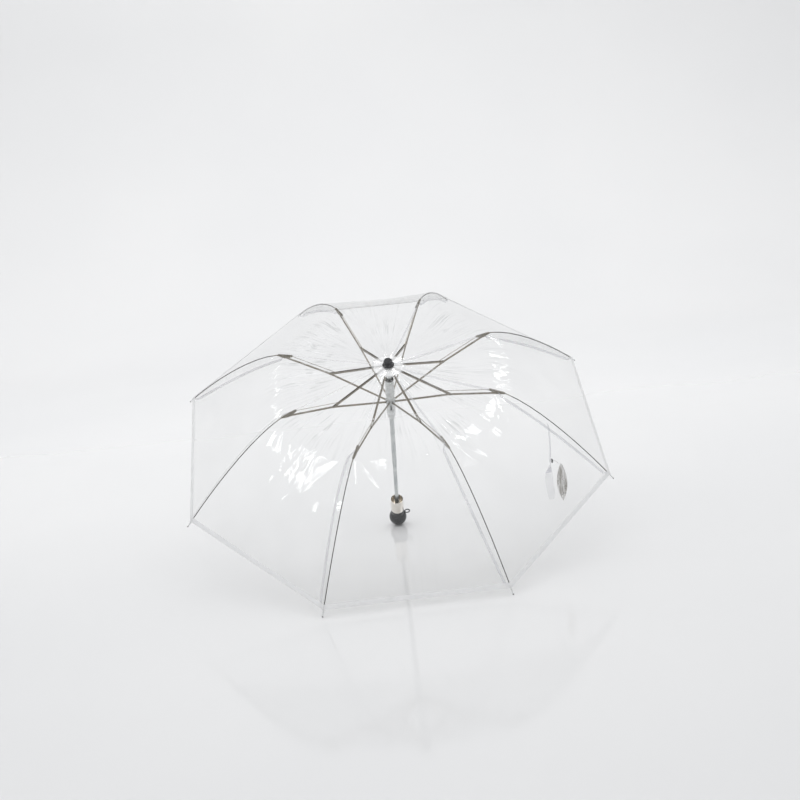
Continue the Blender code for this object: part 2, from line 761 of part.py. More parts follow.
def build_handle(bench, axis):
    bench.piece("lower_tube", lower_tube_mesh(), "shaft_steel", axis)
    bench.piece("telescope_button", button_mesh(), "shaft_steel", axis, (0.0, 0.0, BUTTON_Z))
    bench.piece("handle_cup", cup_mesh(), "nickel", axis)
    bench.piece("handle_ball", ball_mesh(), "black_plastic", axis)
    rivet = rod((0.0, -0.0047, 0.0), (0.0, 0.0047, 0.0), RIVET_R)
    bench.piece("handle_rivet", rivet, "black_plastic", axis, (0.0, 0.0, RIVET_Z))
    eye = (LOOP_REACH * math.cos(LOOP_RISE), 0.0, BALL_Z + LOOP_REACH * math.sin(LOOP_RISE))
    bench.piece("lanyard_loop", lanyard_loop_mesh(), "black_plastic", axis, eye)


def build_strap(bench, knee):
    """The strap hangs plumb, whatever way the rib leans."""
    point, way = outer_rib_point(STRAP_AT)
    below = point - STRAP_DROP * Vector((-way.y, way.x)) - KNEE
    bpy.context.view_layer.update()
    plumb = Matrix.Translation(knee.matrix_world @ Vector(in_plane(below)))
    strap = bench.piece("closure_strap", strap_mesh(), "film", knee)
    stud = bench.piece("snap_stud", stud_mesh(), "black_plastic", knee)
    label = bench.piece("label_tag", label_mesh(), "silver_label", knee)
    for item in (strap, stud, label):
        item.matrix_parent_inverse = knee.matrix_world.inverted()
        item.matrix_basis = plumb


def main():
    for item in list(bpy.data.objects):
        bpy.data.objects.remove(item)
    bench = Bench()
    lean, crown = standing_tilt()
    axis = bench.pivot("shaft_axis", None, crown, (lean, 0.0, 0.0))
    build_shaft(bench, axis)
    build_runner(bench, axis)
    build_handle(bench, axis)
    knees = build_ribs(bench, axis)
    build_strap(bench, knees[STRAP_RIB - 1])


main()
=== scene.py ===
"""Looks for the folding umbrella with a clear film canopy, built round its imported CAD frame."""

import math

import bmesh
import bpy
import numpy as np
from mathutils import Matrix, Vector, noise


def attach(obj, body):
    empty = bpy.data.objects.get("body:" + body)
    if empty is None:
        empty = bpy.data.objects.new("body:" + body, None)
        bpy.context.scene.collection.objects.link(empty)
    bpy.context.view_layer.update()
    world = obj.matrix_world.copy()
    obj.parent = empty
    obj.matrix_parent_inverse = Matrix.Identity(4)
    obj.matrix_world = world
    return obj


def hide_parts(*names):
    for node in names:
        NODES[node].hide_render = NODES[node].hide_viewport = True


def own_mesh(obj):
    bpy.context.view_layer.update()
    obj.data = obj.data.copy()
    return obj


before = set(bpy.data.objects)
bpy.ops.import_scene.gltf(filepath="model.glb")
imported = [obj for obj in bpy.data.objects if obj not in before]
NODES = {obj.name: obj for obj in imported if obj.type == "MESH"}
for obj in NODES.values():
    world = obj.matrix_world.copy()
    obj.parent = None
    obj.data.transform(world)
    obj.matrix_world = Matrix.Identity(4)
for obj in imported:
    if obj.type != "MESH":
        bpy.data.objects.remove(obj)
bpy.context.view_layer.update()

# ------------------------------------------------------------------ the CAD's own driving sizes, in metres
RIBS = 8
FIRST_AZIMUTH = math.radians(-157.5)
STEP = math.tau / RIBS
KNEE = Vector((0.2235, -0.0222))
TIP = Vector((0.4700, -0.2097))
TOP_LINK = Vector((0.1278, -0.0480))
RING_R = 0.0085
LINK_OFFSET = 0.016
TIP_SLOPE = math.radians(49.5)
KNEE_RISE = math.radians(7.0)
KNEE_HANDLE, TIP_HANDLE = 0.072, 0.078
CHANNEL_END = 0.250                      # the outer ribs are channel to here and wire beyond
BALL_Z, BALL_R, CAP_BALL_R = -0.4700, 0.0198, 0.0015
FILM_LIFT = 0.0024
FILM_CROWN = Vector((0.0070, 0.00505))
FILM_STOPS_SHORT = 0.0135

LINK_OUTER = KNEE - LINK_OFFSET * (TOP_LINK - Vector((RING_R, 0.0))).normalized()


def rib_point(share):
    """The outer rib's centre line in its own plane, from the link pivot (0) to the tip (1), and its way."""
    first = LINK_OUTER + KNEE_HANDLE * Vector((math.cos(KNEE_RISE), math.sin(KNEE_RISE)))
    second = TIP - TIP_HANDLE * Vector((math.cos(TIP_SLOPE), -math.sin(TIP_SLOPE)))
    rest = 1.0 - share
    point = (rest ** 3 * LINK_OUTER + 3 * rest ** 2 * share * first
             + 3 * rest * share ** 2 * second + share ** 3 * TIP)
    way = (rest ** 2 * (first - LINK_OUTER) + 2 * rest * share * (second - first)
           + share ** 2 * (TIP - second))
    return point, way.normalized()


def share_short_of_tip(distance):
    low, high = 0.5, 1.0
    for _ in range(40):
        middle = (low + high) / 2.0
        if (rib_point(middle)[0] - TIP).length > distance:
            low = middle
        else:
            high = middle
    return low


def standing_frame():
    """The shaft's frame in the standing pose: the crown ring's place and the lean."""
    back, drop = TIP.x * math.cos(math.pi / RIBS), TIP.y - BALL_Z
    lean = math.acos((CAP_BALL_R - BALL_R) / math.hypot(back, drop)) - math.atan2(back, drop)
    crown = Vector((0.0, TIP.y * math.sin(lean), BALL_R - BALL_Z * math.cos(lean)))
    return Matrix.Translation(crown) @ Matrix.Rotation(lean, 4, "X")


SHAFT = standing_frame()
LAST = share_short_of_tip(FILM_STOPS_SHORT)


def plane(rib):
    """The frame of one rib's plane: +X outward, +Z up the shaft."""
    return SHAFT @ Matrix.Rotation(FIRST_AZIMUTH + rib * STEP, 4, "Z")


# ------------------------------------------------------------------ camera
def make_camera():
    data = bpy.data.cameras.new("camera")
    data.lens, data.sensor_width = 51.94, 36.0
    item = bpy.data.objects.new("camera", data)
    bpy.context.scene.collection.objects.link(item)
    forward = Vector((0.05277, 0.97768, -0.20335)).normalized()
    level = forward.cross(Vector((0.0, 0.0, 1.0))).normalized()
    above = level.cross(forward)
    roll = math.radians(-5.60)
    right = math.cos(roll) * level + math.sin(roll) * above
    up = right.cross(forward)
    turn = Matrix((right, up, -forward)).transposed()
    item.matrix_world = Matrix.Translation((-0.1064, -2.2826 - 0.1142, 0.8180)) @ turn.to_4x4()
    data.clip_start, data.clip_end = 0.05, 60.0
    bpy.context.scene.camera = item


# ------------------------------------------------------------------ materials
class Finish:
    """A small helper round one material's node tree."""

    def __init__(self, name, colour, roughness=0.4, metallic=0.0):
        self.material = bpy.data.materials.new(name)
        self.material.use_nodes = True
        self.tree = self.material.node_tree
        self.shader = self.tree.nodes["Principled BSDF"]
        self.shader.inputs["Base Color"].default_value = (*colour, 1.0)
        self.shader.inputs["Roughness"].default_value = roughness
        self.shader.inputs["Metallic"].default_value = metallic
        self.place = self.node("ShaderNodeTexCoord").outputs["Object"]

    def node(self, kind, **settings):
        made = self.tree.nodes.new(kind)
        for key, value in settings.items():
            setattr(made, key, value)
        return made

    def link(self, source, target):
        self.tree.links.new(source, target)

    def stretched(self, scale):
        mapping = self.node("ShaderNodeMapping")
        mapping.inputs["Scale"].default_value = scale
        self.link(self.place, mapping.inputs["Vector"])
        return mapping.outputs["Vector"]

    def noise(self, scale, detail=3.0, rough=0.5, place=None, distortion=0.0):
        made = self.node("ShaderNodeTexNoise")
        made.inputs["Scale"].default_value = scale
        made.inputs["Detail"].default_value = detail
        made.inputs["Roughness"].default_value = rough
        made.inputs["Distortion"].default_value = distortion
        self.link(place or self.place, made.inputs["Vector"])
        return made.outputs["Fac"]

    def ramp(self, value, low, high, start=0.35, end=0.65):
        made = self.node("ShaderNodeMapRange")
        made.inputs["From Min"].default_value = start
        made.inputs["From Max"].default_value = end
        made.inputs["To Min"].default_value = low
        made.inputs["To Max"].default_value = high
        self.link(value, made.inputs["Value"])
        return made.outputs["Result"]

    def maths(self, operation, first, second):
        made = self.node("ShaderNodeMath", operation=operation)
        for socket, value in zip(made.inputs, (first, second)):
            if isinstance(value, (int, float)):
                socket.default_value = value
            else:
                self.link(value, socket)
        return made.outputs[0]

    def tint(self, value, dark, light):
        made = self.node("ShaderNodeMix", data_type="RGBA")
        made.inputs["A"].default_value = (*dark, 1.0)
        made.inputs["B"].default_value = (*light, 1.0)
        self.link(value, made.inputs["Factor"])
        self.link(made.outputs["Result"], self.shader.inputs["Base Color"])
        return made

    def bump(self, height, strength, distance):
        made = self.node("ShaderNodeBump")
        made.inputs["Strength"].default_value = strength
        made.inputs["Distance"].default_value = distance
        self.link(height, made.inputs["Height"])
        self.link(made.outputs["Normal"], self.shader.inputs["Normal"])

    def rough(self, value):
        self.link(value, self.shader.inputs["Roughness"])


def film_finish(name, colour, clear, edge, metallic=0.6, streak=0.0):
    """Clear vinyl: lets light through, mirrors more the flatter it is looked along, and keeps old folds.
    Along the folds the film is made more solid, partly for real fold marks and partly as painted
    reflection, and some fold lines carry a painted white highlight.
    """
    f = Finish(name, colour, 0.06, metallic)
    weight = f.node("ShaderNodeLayerWeight")
    weight.inputs["Blend"].default_value = 0.35
    alpha = f.maths("ADD", f.ramp(f.noise(14.0, 3.0), clear * 0.8, clear * 1.25),
                    f.maths("MULTIPLY", weight.outputs["Fresnel"], edge))
    small = f.noise(170.0, 2.0, 0.45, distortion=0.6)
    if streak:
        folds, reach = fold_and_glint_lines(f)
        patch = f.ramp(reach, 1.0, 0.0, 0.028, 0.036)
        # The fold lines and the ring round the crown raise the film's alpha; along the folds this is partly
        # real fold marks and partly painted reflection.
        marks = f.maths("ADD", f.maths("MULTIPLY", folds, streak), f.maths("MULTIPLY", patch, 0.60))
        alpha = f.maths("ADD", alpha, marks)
        small = f.maths("ADD", f.maths("MULTIPLY", small, 0.5), folds)
        # Painted highlight: fold lines picked by noise are tinted white. The ring of film round the crown
        # is tinted white too.
        fold_glint = f.ramp(f.noise(31.0, 2.0), 0.0, 1.0, 0.47, 0.53)
        f.tint(f.maths("MAXIMUM", f.maths("MULTIPLY", fold_glint, folds), patch), colour, (1.0, 1.0, 1.0))
    f.link(f.maths("MINIMUM", alpha, 0.92), f.shader.inputs["Alpha"])
    f.rough(f.ramp(f.noise(60.0, 4.0), 0.035, 0.11))
    f.bump(small, 0.25, 0.0006)
    return f.material


def shaft_reach(f):
    """The way from the shaft, square to it, and its length."""
    mapping = f.node("ShaderNodeMapping", vector_type="TEXTURE")
    mapping.inputs["Location"].default_value = SHAFT.translation
    mapping.inputs["Rotation"].default_value = SHAFT.to_euler()
    f.link(f.place, mapping.inputs["Vector"])
    flat = f.node("ShaderNodeVectorMath", operation="MULTIPLY")
    flat.inputs[1].default_value = (1.0, 1.0, 0.0)
    f.link(mapping.outputs["Vector"], flat.inputs[0])
    length = f.node("ShaderNodeVectorMath", operation="LENGTH")
    f.link(flat.outputs["Vector"], length.inputs[0])
    return flat.outputs["Vector"], length.outputs["Value"]


def fold_and_glint_lines(f):
    """Thin lines that fan out from the crown, in groups, for old folds and the painted reflection and
    highlight along them: 1 on a line, 0 between.
    """
    way, reach = shaft_reach(f)
    unit = f.node("ShaderNodeVectorMath", operation="NORMALIZE")
    f.link(way, unit.inputs[0])
    split = f.node("ShaderNodeSeparateXYZ")
    f.link(unit.outputs["Vector"], split.inputs["Vector"])
    fans = []
    for across, along in ((22.0, 3.0), (11.0, 4.5)):
        joined = f.node("ShaderNodeCombineXYZ")
        f.link(f.maths("MULTIPLY", split.outputs["X"], across), joined.inputs["X"])
        f.link(f.maths("MULTIPLY", split.outputs["Y"], across), joined.inputs["Y"])
        f.link(f.maths("MULTIPLY", reach, along), joined.inputs["Z"])
        value = f.noise(1.0, 1.0, 0.4, joined.outputs["Vector"])
        ridge = f.maths("ABSOLUTE", f.maths("SUBTRACT", value, 0.5), 0.0)
        fans.append(f.ramp(ridge, 1.0, 0.0, 0.0, 0.030))
    lines = f.maths("MAXIMUM", fans[0], fans[1])
    groups = f.ramp(f.noise(9.0, 2.0), 0.10, 1.0, 0.44, 0.60)
    inside = f.maths("MULTIPLY", f.ramp(reach, 1.0, 0.06, 0.20, 0.27), f.ramp(reach, 0.0, 1.0, 0.015, 0.05))
    return f.maths("MULTIPLY", f.maths("MULTIPLY", lines, groups), inside), reach


def steel_finish(name, dark, light, rough_low, rough_high):
    f = Finish(name, light, 0.3, 1.0)
    patches = f.noise(480.0, 4.0, 0.6)
    f.tint(f.ramp(patches, 0.0, 1.0, 0.34, 0.66), dark, light)
    f.rough(f.ramp(f.noise(900.0, 3.0), rough_low, rough_high))
    f.bump(f.noise(1400.0, 2.0), 0.2, 0.00006)
    return f.material


def outer_finish(inner_dark, inner_light, dark, light):
    """The outer ribs: a folded steel channel by the knee, then dark spring wire."""
    f = Finish("outer_rib_steel", light, 0.3, 1.0)
    reach = shaft_reach(f)[1]
    patches = f.ramp(f.noise(480.0, 4.0, 0.6), 0.0, 1.0, 0.34, 0.66)
    near = f.tint(patches, inner_dark, inner_light)
    far = f.tint(patches, dark, light)
    both = f.node("ShaderNodeMix", data_type="RGBA")
    f.link(f.ramp(reach, 0.0, 1.0, CHANNEL_END, CHANNEL_END + 0.004), both.inputs["Factor"])
    f.link(near.outputs["Result"], both.inputs["A"])
    f.link(far.outputs["Result"], both.inputs["B"])
    f.link(both.outputs["Result"], f.shader.inputs["Base Color"])
    f.rough(f.ramp(f.noise(900.0, 3.0), 0.28, 0.5))
    f.bump(f.noise(1400.0, 2.0), 0.2, 0.00006)
    return f.material


def tube_finish():
    """Satin steel drawn along its length."""
    f = Finish("tube_steel", (0.60, 0.62, 0.62), 0.34, 1.0)
    f.tint(f.ramp(f.noise(35.0, 4.0), 0.0, 1.0), (0.48, 0.505, 0.51), (0.68, 0.695, 0.69))
    f.rough(f.ramp(f.noise(420.0, 3.0), 0.28, 0.46))
    f.bump(f.noise(1600.0, 2.0), 0.15, 0.00004)
    return f.material


def nickel_finish():
    f = Finish("nickel_plate", (0.80, 0.76, 0.70), 0.14, 1.0)
    f.tint(f.ramp(f.noise(180.0, 3.0), 0.0, 1.0), (0.74, 0.70, 0.64), (0.84, 0.81, 0.76))
    f.rough(f.ramp(f.noise(500.0, 4.0), 0.08, 0.22))
    f.bump(f.noise(1500.0, 2.0), 0.1, 0.00004)
    return f.material


def black_finish():
    f = Finish("black_gloss", (0.010, 0.010, 0.012), 0.25, 0.0)
    f.tint(f.ramp(f.noise(90.0, 4.0), 0.0, 1.0), (0.007, 0.007, 0.009), (0.016, 0.016, 0.018))
    f.rough(f.ramp(f.noise(700.0, 4.0), 0.16, 0.34))
    f.bump(f.noise(1100.0, 3.0), 0.12, 0.00008)
    f.shader.inputs["Coat Weight"].default_value = 0.2
    f.shader.inputs["Coat Roughness"].default_value = 0.12
    return f.material


def moulding_finish():
    """The runner's and crown's frosted clear plastic."""
    f = Finish("frosted_moulding", (0.78, 0.79, 0.79), 0.3, 0.0)
    f.tint(f.ramp(f.noise(120.0, 3.0), 0.0, 1.0), (0.66, 0.67, 0.66), (0.86, 0.87, 0.87))
    f.rough(f.ramp(f.noise(600.0, 3.0), 0.22, 0.42))
    f.bump(f.noise(900.0, 3.0), 0.15, 0.0001)
    f.shader.inputs["Subsurface Weight"].default_value = 0.25
    f.shader.inputs["Subsurface Radius"].default_value = (0.004, 0.004, 0.004)
    f.shader.inputs["Coat Weight"].default_value = 0.3
    return f.material


def label_finish():
    f = Finish("silver_label", (0.52, 0.50, 0.47), 0.35, 0.7)
    streaks = f.noise(60.0, 4.0, 0.6, f.stretched((5.0, 1.0, 0.6)))
    f.tint(f.ramp(streaks, 0.0, 1.0, 0.4, 0.6), (0.42, 0.40, 0.37), (0.90, 0.89, 0.88))
    f.rough(f.ramp(f.noise(240.0, 3.0), 0.25, 0.5))
    f.bump(f.noise(300.0, 3.0), 0.3, 0.0003)
    return f.material


def floor_finish():
    """White card, glossy where the umbrella stands and matt towards the back."""
    f = Finish("studio_floor", (0.80, 0.80, 0.80), 0.2, 0.0)
    f.tint(f.ramp(f.noise(0.8, 2.0), 0.0, 1.0), (0.780, 0.780, 0.780), (0.805, 0.803, 0.800))
    split = f.node("ShaderNodeSeparateXYZ")
    f.link(f.place, split.inputs["Vector"])
    back = f.ramp(split.outputs["Y"], 0.0, 1.0, 0.4, 2.9)
    back.node.interpolation_type = "SMOOTHERSTEP"
    f.link(f.maths("MULTIPLY", f.maths("SUBTRACT", 1.0, back), 0.7), f.shader.inputs["Specular IOR Level"])
    f.rough(f.maths("ADD", f.ramp(f.noise(3.0, 3.0), 0.06, 0.10), f.maths("MULTIPLY", back, 0.8)))
    return f.material


# ------------------------------------------------------------------ meshes
def add(name, mesh, material, body=None):
    item = bpy.data.objects.new(name, mesh)
    bpy.context.scene.collection.objects.link(item)
    for finish in material if isinstance(material, (list, tuple)) else [material]:
        mesh.materials.append(finish)
    if body:
        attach(item, body)
    return item


def lathe(profile, steps=64):
    """A closed outline of (radius, height) points turned about the shaft, as a mesh in its frame."""
    rings = []
    form = bmesh.new()
    for radius, height in profile:
        if radius < 1e-6:
            rings.append([form.verts.new((0.0, 0.0, height))])
            continue
        ring = []
        for n in range(steps):
            angle = math.tau * n / steps
            ring.append(form.verts.new((radius * math.cos(angle), radius * math.sin(angle), height)))
        rings.append(ring)
    for upper, lower in zip(rings, rings[1:] + rings[:1]):
        if len(upper) == 1 and len(lower) == 1:
            continue
        for n in range(steps):
            m = (n + 1) % steps
            if len(upper) == 1:
                form.faces.new((upper[0], lower[n], lower[m]))
            elif len(lower) == 1:
                form.faces.new((upper[n], lower[0], upper[m]))
            else:
                form.faces.new((upper[n], lower[n], lower[m], upper[m]))
    bmesh.ops.recalc_face_normals(form, faces=form.faces)
    mesh = bpy.data.meshes.new("lathe")
    form.to_mesh(mesh)
    form.free()
    mesh.shade_smooth()
    mesh.set_sharp_from_angle(angle=math.radians(38.0))
    return mesh


def rounded(profile, radius=0.0004, parts=3):
    """The outline with its corners rounded."""
    made = []
    count = len(profile)
    for n, corner in enumerate(profile):
        here = Vector(corner)
        before, after = Vector(profile[n - 1]), Vector(profile[(n + 1) % count])
        reach = min(radius, (before - here).length * 0.4, (after - here).length * 0.4)
        if here.x < 1e-6 or reach < 1e-7:
            made.append(tuple(here))
            continue
        start = here + (before - here).normalized() * reach
        end = here + (after - here).normalized() * reach
        for k in range(parts + 1):
            t = k / parts
            made.append(tuple((1 - t) ** 2 * start + 2 * t * (1 - t) * here + t * t * end))
    return made


# ------------------------------------------------------------------ the film's shape
ROWS_IN, ROWS_OUT, COLUMNS = 30, 64, 48
FOLD_DIP = 0.027                         # how far the fold's row dips outward in the middle of a gore


def rib_line():
    """The film's line over a rib, from the crown to the hem, as (distance from the shaft, height)."""
    points = []
    start = FILM_CROWN
    end, way = rib_point(0.0)
    end = end + FILM_LIFT * Vector((-way.y, way.x))
    for n in range(ROWS_IN):
        t = n / ROWS_IN
        sag = -0.0022 * math.sin(math.pi * t)
        points.append(start.lerp(end, t) + Vector((0.0, sag)))
    for n in range(ROWS_OUT + 1):
        point, way = rib_point(LAST * n / ROWS_OUT)
        points.append(point + FILM_LIFT * Vector((-way.y, way.x)))
    return np.array([(p.x, p.y) for p in points])


LINE = rib_line()
RUN = np.concatenate([[0.0], np.cumsum(np.linalg.norm(np.diff(LINE, axis=0), axis=1))])
FULL_RUN = RUN[-1]
KNEE_RUN = RUN[ROWS_IN]


def creases(gore):
    """Long soft folds left from storage, as (start run, start share, end run, end share, width, height)."""
    local = np.random.default_rng(100 + gore)
    made = []
    for _ in range(9):
        start = local.uniform(0.01, 0.06)
        share = local.uniform(0.12, 0.88)
        drift = local.uniform(-0.10, 0.10)
        made.append((start, share, local.uniform(0.16, 0.34), share + drift,
                     local.uniform(0.0035, 0.008), local.uniform(-0.0013, 0.0013)))
    for side in (0.0, 1.0):
        for _ in range(5):
            lean = local.uniform(0.10, 0.42)
            away = lean if side == 0.0 else -lean
            made.append((KNEE_RUN + local.uniform(-0.02, 0.01), side,
                         KNEE_RUN + local.uniform(0.06, 0.16), side + away,
                         local.uniform(0.003, 0.006), local.uniform(-0.0016, 0.0016)))
    for _ in range(5):
        share = local.uniform(0.15, 0.85)
        made.append((local.uniform(0.24, 0.33), share,
                     local.uniform(0.36, 0.46), share + local.uniform(-0.06, 0.06),
                     local.uniform(0.004, 0.008), local.uniform(-0.0010, 0.0010)))
    return made


# patches of crumpled film: gore, run from the crown, share across, radius, height
CRUMPLES = [(0, 0.262, 0.36, 0.030, 0.0018), (0, 0.300, 0.48, 0.036, 0.0030),
            (0, 0.303, 0.85, 0.018, 0.0012), (0, 0.375, 0.50, 0.016, 0.0024),
            (7, 0.243, 0.84, 0.022, 0.0030), (7, 0.254, 0.37, 0.030, 0.0018),
            (1, 0.275, 0.18, 0.026, 0.0010), (2, 0.240, 0.70, 0.028, 0.0013),
            (2, 0.288, 0.39, 0.020, 0.0008), (3, 0.250, 0.50, 0.045, 0.0016)]


def grid_runs():
    """Each grid point's run from the crown; the row where the frame folds dips outward between the ribs."""
    share = np.linspace(0.0, 1.0, COLUMNS + 1)
    fold = KNEE_RUN + FOLD_DIP * 2.0 * np.minimum(share, 1.0 - share)
    inner = np.linspace(0.0, 1.0, ROWS_IN + 1)[:-1, None] * fold
    outer = fold + np.linspace(0.0, 1.0, ROWS_OUT + 1)[:, None] * (FULL_RUN - fold)
    return np.concatenate([inner, outer])


GRID_RUN = grid_runs()
GRID_REACH = np.interp(GRID_RUN, RUN, LINE[:, 0])
GRID_HEIGHT = np.interp(GRID_RUN, RUN, LINE[:, 1])


def relief(gore):
    """How far the film stands off its tight surface, over one gore's grid."""
    share = np.linspace(0.0, 1.0, COLUMNS + 1)[None, :]
    run = GRID_RUN
    width = 2.0 * GRID_REACH * math.sin(STEP / 2.0)
    across = (share - 0.5) * width
    pinned = np.clip(4.0 * share * (1.0 - share), 0.0, 1.0) ** 0.55
    height = np.zeros(GRID_RUN.shape)
    gather = np.exp(-((run - 0.03) / 0.045) ** 2)
    height += 0.0009 * gather * np.sin(math.tau * (5.0 * share + 0.3 * gore)) * pinned
    for start, from_share, end, to_share, spread, tall in creases(gore):
        t = (run - start) / (end - start)
        centre = from_share + (to_share - from_share) * t
        x = (share - centre) * width / spread
        fade = np.clip(t, 0.0, 1.0) * np.clip(1.0 - t, 0.0, 1.0) * 4.0
        height += tall * np.exp(-np.abs(x) ** 1.3) * np.clip(fade, 0.0, 1.0) ** 0.7 * pinned
    for g, at, middle, radius, tall in CRUMPLES:
        if g != gore:
            continue
        far = np.sqrt((run - at) ** 2 + (across - (middle - 0.5) * width) ** 2) / radius
        bell = np.exp(-far ** 2)
        grain = np.zeros_like(height)
        for i in range(height.shape[0]):
            for j in range(height.shape[1]):
                if bell[i, j] > 0.02:
                    spot = Vector((run[i, j] * 38.0, across[i, j] * 75.0, gore * 5.3))
                    grain[i, j] = abs(noise.noise(spot)) - 0.25
        height += tall * bell * grain * pinned
    buckle = np.zeros_like(height)
    for i in range(height.shape[0]):
        for j in range(height.shape[1]):
            spot = Vector((run[i, j] * 9.0, across[i, j] * 14.0, gore * 3.1 + 0.7))
            buckle[i, j] = noise.noise(spot)
    height += 0.0034 * buckle * pinned * np.clip(run / 0.12, 0.0, 1.0)
    last = np.clip((FULL_RUN - run - 0.014) / 0.05, 0.0, 1.0)
    return height * last


def gore_grid(gore):
    """Points and normals over one gore, in the shaft's frame."""
    here = FIRST_AZIMUTH + STEP * gore
    there = here + STEP
    share = np.linspace(0.0, 1.0, COLUMNS + 1)[None, :, None]
    reach, height = GRID_REACH, GRID_HEIGHT
    start = np.stack([reach * math.cos(here), reach * math.sin(here), height], axis=2)
    end = np.stack([reach * math.cos(there), reach * math.sin(there), height], axis=2)
    middle = here + STEP / 2.0
    inward = np.array([-math.cos(middle), -math.sin(middle), -1.5])
    inward /= np.linalg.norm(inward)
    slack = 0.0060 * np.sin(math.pi * GRID_RUN / FULL_RUN) * np.minimum(1.0, GRID_REACH / KNEE.x)
    hollow = slack[:, :, None] * 4.0 * share * (1.0 - share)
    points = start + (end - start) * share + hollow * inward

    def normals(grid):
        down = np.gradient(grid, axis=0)
        over = np.gradient(grid, axis=1)
        made = np.cross(down, over)
        return made / np.maximum(np.linalg.norm(made, axis=2, keepdims=True), 1e-12)

    points = points + relief(gore)[:, :, None] * normals(points)
    return points, normals(points)


def to_row(points):
    """Points in the shaft's frame, taken to the shared frame."""
    turn = np.array(SHAFT.to_3x3())
    return points @ turn.T + np.array(SHAFT.translation)


def grid_mesh(name, points, normals):
    """A sheet over a grid of points, with its shading taken from the whole gore's surface."""
    rows, columns = points.shape[:2]
    place = to_row(points.reshape(-1, 3))
    facing = normals.reshape(-1, 3) @ np.array(SHAFT.to_3x3()).T
    faces = []
    for i in range(rows - 1):
        for j in range(columns - 1):
            a = i * columns + j
            faces.append((a, a + columns, a + columns + 1, a + 1))
    mesh = bpy.data.meshes.new(name)
    mesh.from_pydata(place.tolist(), [], faces)
    mesh.shade_smooth()
    mesh.normals_split_custom_set_from_vertices(facing.tolist())
    return mesh


STRIPS_IN = 8
HEM_WIDTH = 0.0125
HEM_OVER, HEM_UNDER = 0.00035, 0.00055   # how far the hem's two layers stand off the film


def flat_size(mesh):
    """Length, mean width and area of a sheet's mesh."""
    area = sum(face.area for face in mesh.polygons)
    co = np.array([v.co for v in mesh.vertices])
    spread = co - co.mean(0)
    ways = np.linalg.svd(spread, full_matrices=False)[2]
    sizes = [float(np.ptp(spread @ way)) for way in ways[:2]]
    return sizes[1], sizes[0], area


def declare(item):
    wide, long, area = flat_size(item.data)
    wide = max(wide, area / long)


def gore_halves(gore):
    """The two halves of a gore: letter, columns, the rib each hangs on, and the side it lies to."""
    half = COLUMNS // 2
    return [("a", slice(0, half + 1), gore, 1.0), ("b", slice(half, COLUMNS + 1), (gore + 1) % RIBS, -1.0)]


def gather_on_rib(item):
    """Gives the piece its own copy of its mesh."""
    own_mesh(item)


def make_canopy(film, hem):
    """Eight gores, each cut at the fold: strips by the crown that ride on the shaft, halves that ride on a
    rib.
    """
    first = True
    step = COLUMNS // STRIPS_IN
    for gore in range(RIBS):
        points, normals = gore_grid(gore)
        for strip in range(STRIPS_IN):
            cut = slice(strip * step, (strip + 1) * step + 1)
            mesh = grid_mesh("film", points[:ROWS_IN + 1, cut], normals[:ROWS_IN + 1, cut])
            item = add(f"film_crown_{gore + 1}_{strip + 1}", mesh, film, "shaft")
            item.visible_shadow = False
            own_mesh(item)
            declare(item)
            if first:
                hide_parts("canopy")
                first = False
        for letter, cut, rib, towards in gore_halves(gore):
            mesh = grid_mesh("film", points[ROWS_IN:, cut], normals[ROWS_IN:, cut])
            item = add(f"film_hem_{gore + 1}_{letter}", mesh, film, f"outer_rib_{rib + 1}")
            item.visible_shadow = False
            gather_on_rib(item)
            declare(item)
        make_hem(gore, points, normals, hem)


def make_hem(gore, points, normals, hem):
    """The edge turned in and welded: a layer on each side of the last centimetre of film."""
    first = int(np.argmax(FULL_RUN - RUN < HEM_WIDTH))
    for letter, cut, rib, towards in gore_halves(gore):
        outer = points[first:, cut] + normals[first:, cut] * HEM_OVER
        inner = points[first:, cut] - normals[first:, cut] * HEM_UNDER
        wrap = np.concatenate([outer, inner[::-1]], axis=0)
        turned_normals = np.concatenate([normals[first:, cut], -normals[first:, cut][::-1]], axis=0)
        mesh = grid_mesh("hem", wrap, turned_normals)
        item = add(f"hem_{gore + 1}_{letter}", mesh, hem, f"outer_rib_{rib + 1}")
        gather_on_rib(item)


# ------------------------------------------------------------------ seams along the ribs
FIN_LEAN = [-0.9, -1.15, -0.95, -0.35, 0.0, -0.2, 0.1, 0.0]     # each flange's lean to one side, in radians
FIN_DROP = [0.45, 0.30, 0.42, 0.45, 0.62, 0.40, 0.40, 0.62]     # how much of the rib's bow it cuts across
SEAM_FIRST_ROW = ROWS_IN + 3
SEAM_ROWS = 40
WEB_DEPTH, BAND_WIDTH, BAND_THICK = 0.0055, 0.0050, 0.0006
CROWN_SEAM_WIDTH = 0.0042


